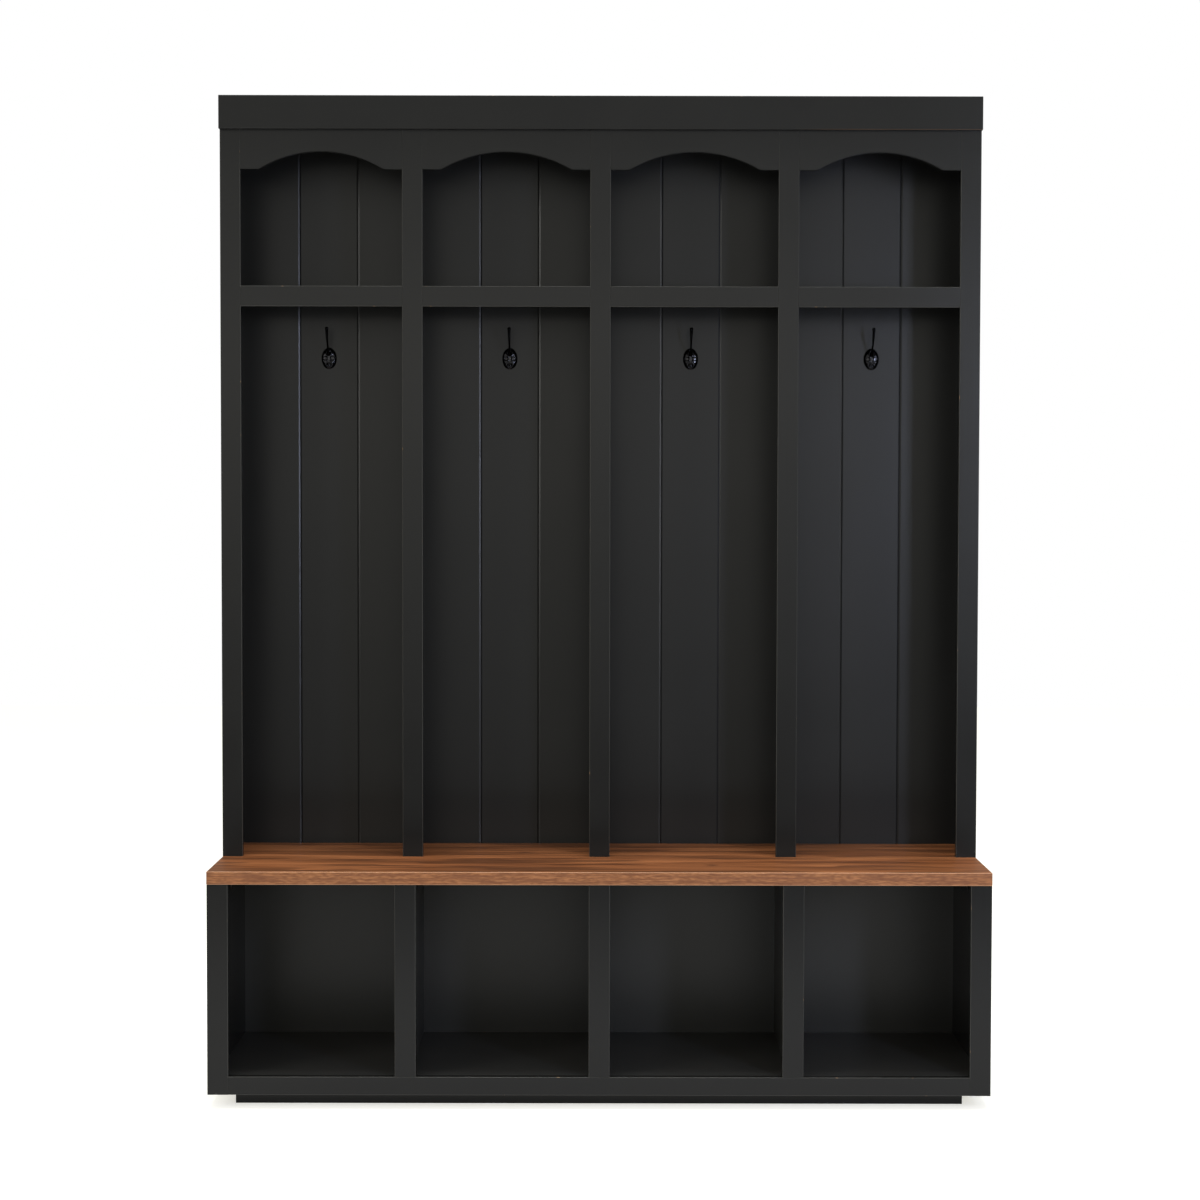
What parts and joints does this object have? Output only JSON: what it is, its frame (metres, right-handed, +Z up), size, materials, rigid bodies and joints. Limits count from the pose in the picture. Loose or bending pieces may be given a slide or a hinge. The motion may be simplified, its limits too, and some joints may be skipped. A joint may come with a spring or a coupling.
{
  "type": "hall tree",
  "caption": "Black hall tree: open shoe-cubby base with a walnut-look bench, and a shallower hutch with grooved backs, cast coat hooks, arched upper cubbies and a flat cornice.",
  "frame": {"origin": "on the floor, under the middle of the bench", "axes": "+Z up, -Y to the front, +X to the right of a person who faces the hall tree"},
  "size_m": [1.5, 0.4, 1.96],
  "materials": {
    "black_paint": "satin black paint on board",
    "walnut_laminate": "satin walnut-look laminate with grain along the length",
    "hook_casting": "gloss black coating on cast metal",
    "zinc_steel": "bright zinc plate",
    "beech": "bare beech"
  },
  "bodies": {
    "root": {"apron_1": "black_paint", "apron_2": "black_paint", "apron_3": "black_paint", "apron_4": "black_paint", "base_back_panel_left": "black_paint", "base_back_panel_right": "black_paint", "base_bottom_panel": "black_paint", "base_bottom_rail": "black_paint", "base_partition_1": "black_paint", "base_partition_2": "black_paint", "base_partition_3": "black_paint", "base_side_left": "black_paint", "base_side_right": "black_paint", "base_stile_1": "black_paint", "base_stile_2": "black_paint", "base_stile_3": "black_paint", "base_stile_left": "black_paint", "base_stile_right": "black_paint", "bench_top": "walnut_laminate", "cam_bolts": "zinc_steel", "cam_locks": "zinc_steel", "coat_hooks": "hook_casting", "cornice": "black_paint", "hutch_back_panel_1": "black_paint", "hutch_back_panel_2": "black_paint", "hutch_back_panel_3": "black_paint", "hutch_back_panel_4": "black_paint", "hutch_partition_1": "black_paint", "hutch_partition_2": "black_paint", "hutch_partition_3": "black_paint", "hutch_side_left": "black_paint", "hutch_side_right": "black_paint", "hutch_stile_1": "black_paint", "hutch_stile_2": "black_paint", "hutch_stile_3": "black_paint", "hutch_stile_left": "black_paint", "hutch_stile_right": "black_paint", "plinth_back": "black_paint", "plinth_front": "black_paint", "plinth_ribs": "black_paint", "plinth_side_left": "black_paint", "plinth_side_right": "black_paint", "shelf_1": "black_paint", "shelf_2": "black_paint", "shelf_3": "black_paint", "shelf_4": "black_paint", "shelf_rail_1": "black_paint", "shelf_rail_2": "black_paint", "shelf_rail_3": "black_paint", "shelf_rail_4": "black_paint", "top_panel": "black_paint", "wood_dowels": "beech"}
  },
  "joints": []
}
